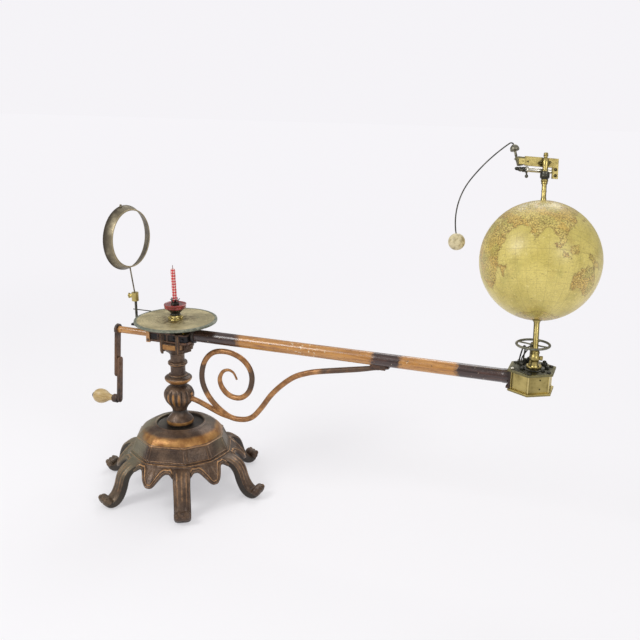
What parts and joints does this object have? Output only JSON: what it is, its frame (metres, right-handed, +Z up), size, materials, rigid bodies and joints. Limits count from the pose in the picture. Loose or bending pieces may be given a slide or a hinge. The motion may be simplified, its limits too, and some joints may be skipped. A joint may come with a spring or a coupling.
{
  "type": "orrery",
  "caption": "Crank-driven tellurium: a globe and moon on a long geared arm that circles a candle on a cast-iron stand.",
  "frame": {"origin": "on the floor, under the column's axis, level with the soles of the feet", "axes": "+Z up the column, +X along the arm towards the globe"},
  "size_m": [0.7717, 0.261, 0.5577],
  "materials": {
    "bronzed_iron": "cast iron with a worn copper-bronze finish",
    "frame_iron": "blackened iron",
    "scroll_iron": "copper-bronzed wrought iron, worn",
    "arm_paint": "ochre and dark brown grained paint on steel tube",
    "rusty_iron": "dull brown iron",
    "handle_wood": "pale turned wood, worn",
    "dark_steel": "blued steel",
    "brass": "polished brass, aged",
    "dark_brass": "dark tarnished brass",
    "gear_brass": "cut brass",
    "disc_brass": "engraved brass, greenish patina",
    "nickel": "polished nickel",
    "red_enamel": "dark red enamel",
    "candle_wax": "red and white spiral wax",
    "globe_paper": "aged varnished map paper on papier-mache",
    "moon_wood": "pale painted wood",
    "ring_metal": "brown patinated brass"
  },
  "bodies": {
    "stand": {"base_dome": "bronzed_iron", "base_skirt": "bronzed_iron", "legs": "bronzed_iron", "spindle": "dark_steel", "spindle_nut": "dark_steel", "sun_gear": "gear_brass", "disc_hub": "brass", "calendar_disc": "disc_brass", "candle_gallery": "brass", "candle_cup": "dark_steel", "drip_pan": "red_enamel", "candle": "candle_wax"},
    "arm": {"column_ball": "bronzed_iron", "column_neck": "bronzed_iron", "capital": "bronzed_iron", "bearing_bushes": "brass", "head_frame": "frame_iron", "centre_bearing": "frame_iron", "arm_tube": "arm_paint", "scroll_bracket": "scroll_iron", "bracket_clip": "frame_iron", "gearbox_shell": "brass", "gearbox_floor": "dark_brass", "gearbox_cover": "dark_brass", "cover_screws": "dark_steel", "detent_spring": "dark_steel", "reflector_arm": "frame_iron"},
    "crank": {"crank_shaft": "arm_paint", "crank_pinion": "gear_brass", "crank_upper_bar": "rusty_iron", "crank_lower_bar": "rusty_iron", "crank_rivets": "rusty_iron", "handle_pin": "rusty_iron"},
    "handle": {"crank_handle": "handle_wood"},
    "drive": {"drive_shaft": "dark_steel", "arm_pinion": "gear_brass", "gearbox_pinion": "gear_brass"},
    "carrier": {"carrier_arbor": "brass", "carrier_gear": "gear_brass", "spindle_boss": "brass", "wheel_post": "dark_brass", "hand_wheel": "dark_steel", "globe_spindle": "brass"},
    "globe": {"globe_north": "globe_paper", "globe_south": "globe_paper", "globe_core": "brass"},
    "moon_head": {"moon_collar": "dark_steel", "moon_post": "brass", "moon_plate": "brass", "moon_tube": "nickel", "moon_fasteners": "dark_steel", "end_block": "dark_brass"},
    "moon": {"moon_knob": "dark_brass", "moon_wire": "dark_steel", "moon_ball": "moon_wood"},
    "post": {"reflector_post": "dark_steel", "date_pointer": "dark_steel"},
    "reflector": {"clamp_block": "brass", "reflector_ring": "ring_metal"},
    "thumbscrew": {"clamp_screw": "brass"}
  },
  "joints": [
    {"name": "arm_swing", "type": "hinge", "parent": "stand", "child": "arm", "pos_m": [0, 0, 0.2], "axis": [0, 0, 1], "continuous": true},
    {"name": "crank_spin", "type": "hinge", "parent": "arm", "child": "crank", "pos_m": [-0.06, 0, 0.2507], "axis": [1, 0, 0], "continuous": true},
    {"name": "handle_spin", "type": "hinge", "parent": "crank", "child": "handle", "pos_m": [-0.13, -0.01342, 0.13648], "axis": [1, 0, 0], "continuous": true},
    {"name": "drive_spin", "type": "hinge", "parent": "arm", "child": "drive", "pos_m": [0.27, 0, 0.257], "axis": [1, 0, 0], "continuous": true},
    {"name": "carrier_turn", "type": "hinge", "parent": "arm", "child": "carrier", "pos_m": [0.542, 0, 0.26], "axis": [0, 0, 1], "continuous": true},
    {"name": "globe_spin", "type": "hinge", "parent": "carrier", "child": "globe", "pos_m": [0.5367, 0.0417, 0.4089], "axis": [-0.0692, 0.3927, 0.9171], "continuous": true},
    {"name": "moon_orbit", "type": "hinge", "parent": "carrier", "child": "moon_head", "pos_m": [0.52874, 0.08686, 0.51436], "axis": [-0.0692, 0.3927, 0.9171], "continuous": true},
    {"name": "moon_swivel", "type": "hinge", "parent": "moon_head", "child": "moon", "pos_m": [0.49139, 0.08631, 0.53195], "axis": [-0.3092, 0.2906, 0.9055], "range_deg": [-25, 25]},
    {"name": "post_swivel", "type": "hinge", "parent": "arm", "child": "post", "pos_m": [-0.071, 0, 0.28], "axis": [0, 0, 1], "range_deg": [-15, 15]},
    {"name": "reflector_slide", "type": "slide", "parent": "post", "child": "reflector", "axis": [0, 0, 1], "range_m": [0, 0.0035]},
    {"name": "thumbscrew_turn", "type": "hinge", "parent": "reflector", "child": "thumbscrew", "pos_m": [-0.08, 0, 0.309], "axis": [1, 0, 0], "range_deg": [-180, 0]}
  ],
  "couplings": [
    {"joint": "crank_spin", "follows": "arm_swing", "ratio": 3},
    {"joint": "drive_spin", "follows": "arm_swing", "ratio": -1.5},
    {"joint": "carrier_turn", "follows": "arm_swing", "ratio": -1}
  ]
}
